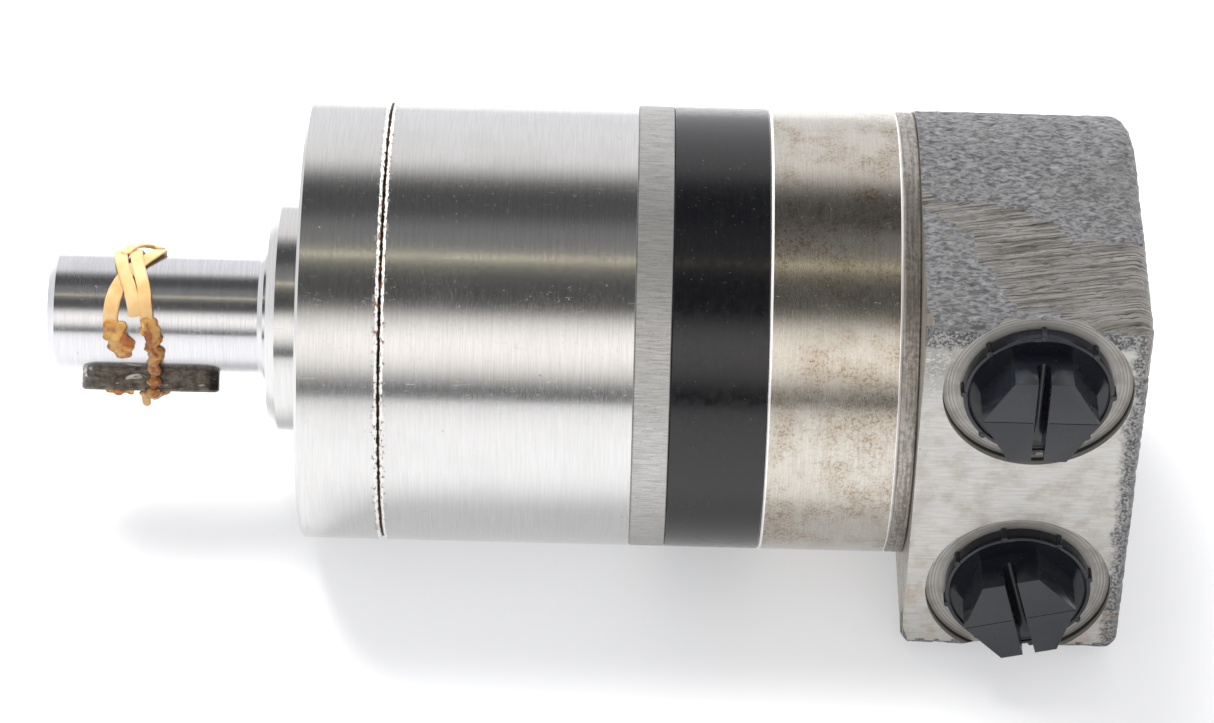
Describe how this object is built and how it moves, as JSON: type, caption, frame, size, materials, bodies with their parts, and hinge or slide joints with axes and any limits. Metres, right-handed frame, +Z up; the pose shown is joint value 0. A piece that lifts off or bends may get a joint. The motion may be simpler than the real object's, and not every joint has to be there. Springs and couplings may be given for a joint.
{
  "type": "hydraulic motor",
  "caption": "Compact orbital hydraulic motor: round steel body, keyed output shaft with a banded key, cast rear housing with two side ports closed by black plastic plugs.",
  "frame": {"origin": "on the shaft axis, in the mounting face of the front cover", "axes": "-X points out of the motor along the shaft; the ports face -Y; +Z is up as the motor lies"},
  "size_m": [0.1456, 0.0684, 0.0604],
  "materials": {
    "turned_steel": "fine turned and polished steel, light rust along the joint",
    "ground_steel": "matt ground steel with fine scratches",
    "black_paint": "gloss black enamel with dust",
    "warm_steel": "turned steel, slightly brown, rust specks",
    "cast_iron": "raw sand casting, milled port face",
    "shaft_steel": "ground hardened steel",
    "key_steel": "dark oiled bar steel",
    "latex": "pale latex, slightly see-through",
    "seal_rubber": "black nitrile rubber",
    "bearing_steel": "hardened and ground",
    "black_oxide": "black oxide steel",
    "plug_plastic": "gloss black moulded plastic",
    "spring_steel": "drawn spring wire"
  },
  "bodies": {
    "root": {"front_cover": "turned_steel", "valve_housing": "turned_steel", "spacer_plate": "ground_steel", "gear_ring": "black_paint", "channel_plate": "warm_steel", "port_housing": "cast_iron", "dust_seal": "seal_rubber", "shaft_seal": "seal_rubber", "seal_washer": "bearing_steel", "thrust_race_front": "bearing_steel", "bearing_shell": "bearing_steel", "o_ring_1": "seal_rubber", "o_ring_2": "seal_rubber", "o_ring_3": "seal_rubber", "o_ring_4": "seal_rubber", "o_ring_5": "seal_rubber", "clamp_bolts": "black_oxide", "cover_screws": "black_oxide", "check_spring_a": "spring_steel", "check_spring_b": "spring_steel", "check_screws": "black_oxide"},
    "shaft": {"output_shaft": "shaft_steel", "shaft_key": "key_steel", "key_band": "latex", "thrust_race_rear": "bearing_steel"},
    "orbit": {"drive_ball": "bearing_steel"},
    "star": {"star": "bearing_steel"},
    "drive": {"cardan_drive": "shaft_steel"},
    "thrust_cage": {"thrust_needles": "bearing_steel"},
    "needle_cage": {"bearing_needles": "bearing_steel"},
    "roller_1_body": {"roller_1": "bearing_steel"},
    "roller_2_body": {"roller_2": "bearing_steel"},
    "roller_3_body": {"roller_3": "bearing_steel"},
    "roller_4_body": {"roller_4": "bearing_steel"},
    "roller_5_body": {"roller_5": "bearing_steel"},
    "roller_6_body": {"roller_6": "bearing_steel"},
    "roller_7_body": {"roller_7": "bearing_steel"},
    "plug_a_seal": {"plug_seal_a": "seal_rubber"},
    "plug_a_body": {"plug_a": "plug_plastic"},
    "plug_b_seal": {"plug_seal_b": "seal_rubber"},
    "plug_b_body": {"plug_b": "plug_plastic"},
    "check_ball_a_body": {"check_ball_a": "bearing_steel"},
    "check_ball_b_body": {"check_ball_b": "bearing_steel"}
  },
  "joints": [
    {"name": "shaft_spin", "type": "hinge", "parent": "root", "child": "shaft", "pos_m": [0, 0, 0], "axis": [1, 0, 0], "continuous": true},
    {"name": "orbit", "type": "hinge", "parent": "root", "child": "orbit", "pos_m": [0, 0, 0], "axis": [1, 0, 0], "continuous": true},
    {"name": "star_spin", "type": "hinge", "parent": "orbit", "child": "star", "pos_m": [0.05555, 0.00165, 0], "axis": [1, 0, 0], "continuous": true},
    {"name": "drive_spin", "type": "hinge", "parent": "orbit", "child": "drive", "pos_m": [0.0225, 0, 0], "axis": [0.9988, 0.0499, 0], "continuous": true},
    {"name": "thrust_cage_spin", "type": "hinge", "parent": "root", "child": "thrust_cage", "pos_m": [0.00825, 0, 0], "axis": [1, 0, 0], "continuous": true},
    {"name": "needle_cage_spin", "type": "hinge", "parent": "root", "child": "needle_cage", "pos_m": [0.0158, 0, 0], "axis": [1, 0, 0], "continuous": true},
    {"name": "roller_1_spin", "type": "hinge", "parent": "root", "child": "roller_1_body", "pos_m": [0.05555, 0.0106, 0.01329], "axis": [1, 0, 0], "continuous": true},
    {"name": "roller_2_spin", "type": "hinge", "parent": "root", "child": "roller_2_body", "pos_m": [0.05555, -0.00378, 0.01657], "axis": [1, 0, 0], "continuous": true},
    {"name": "roller_3_spin", "type": "hinge", "parent": "root", "child": "roller_3_body", "pos_m": [0.05555, -0.01532, 0.00738], "axis": [1, 0, 0], "continuous": true},
    {"name": "roller_4_spin", "type": "hinge", "parent": "root", "child": "roller_4_body", "pos_m": [0.05555, -0.01532, -0.00738], "axis": [1, 0, 0], "continuous": true},
    {"name": "roller_5_spin", "type": "hinge", "parent": "root", "child": "roller_5_body", "pos_m": [0.05555, -0.00378, -0.01657], "axis": [1, 0, 0], "continuous": true},
    {"name": "roller_6_spin", "type": "hinge", "parent": "root", "child": "roller_6_body", "pos_m": [0.05555, 0.0106, -0.01329], "axis": [1, 0, 0], "continuous": true},
    {"name": "roller_7_spin", "type": "hinge", "parent": "root", "child": "roller_7_body", "pos_m": [0.05555, 0.017, 0], "axis": [1, 0, 0], "continuous": true},
    {"name": "plug_a_lift", "type": "slide", "parent": "root", "child": "plug_a_seal", "axis": [0, -1, 0], "range_m": [0, 0.01019]},
    {"name": "plug_a_unscrew", "type": "hinge", "parent": "plug_a_seal", "child": "plug_a_body", "pos_m": [0.0965, -0.0322, 0.01725], "axis": [0, -1, 0], "range_deg": [0, 2600]},
    {"name": "plug_b_lift", "type": "slide", "parent": "root", "child": "plug_b_seal", "axis": [0, -1, 0], "range_m": [0, 0.01019]},
    {"name": "plug_b_unscrew", "type": "hinge", "parent": "plug_b_seal", "child": "plug_b_body", "pos_m": [0.0965, -0.0322, -0.01725], "axis": [0, -1, 0], "range_deg": [0, 2600]},
    {"name": "check_a_lift", "type": "slide", "parent": "root", "child": "check_ball_a_body", "axis": [1, 0, 0], "range_m": [0, 0.0006], "stiffness_N_per_m": 60},
    {"name": "check_b_lift", "type": "slide", "parent": "root", "child": "check_ball_b_body", "axis": [1, 0, 0], "range_m": [0, 0.0006], "stiffness_N_per_m": 60}
  ],
  "couplings": [
    {"joint": "orbit", "follows": "shaft_spin", "ratio": -6},
    {"joint": "star_spin", "follows": "shaft_spin", "ratio": 7},
    {"joint": "drive_spin", "follows": "shaft_spin", "ratio": 7},
    {"joint": "thrust_cage_spin", "follows": "shaft_spin", "ratio": 0.5},
    {"joint": "needle_cage_spin", "follows": "shaft_spin", "ratio": 0.458},
    {"joint": "roller_1_spin", "follows": "shaft_spin", "ratio": -4},
    {"joint": "roller_2_spin", "follows": "shaft_spin", "ratio": -4},
    {"joint": "roller_3_spin", "follows": "shaft_spin", "ratio": -4},
    {"joint": "roller_4_spin", "follows": "shaft_spin", "ratio": -4},
    {"joint": "roller_5_spin", "follows": "shaft_spin", "ratio": -4},
    {"joint": "roller_6_spin", "follows": "shaft_spin", "ratio": -4},
    {"joint": "roller_7_spin", "follows": "shaft_spin", "ratio": -4},
    {"joint": "plug_a_unscrew", "follows": "plug_a_lift", "rad_per_m": 4452.7},
    {"joint": "plug_b_unscrew", "follows": "plug_b_lift", "rad_per_m": 4452.7}
  ]
}
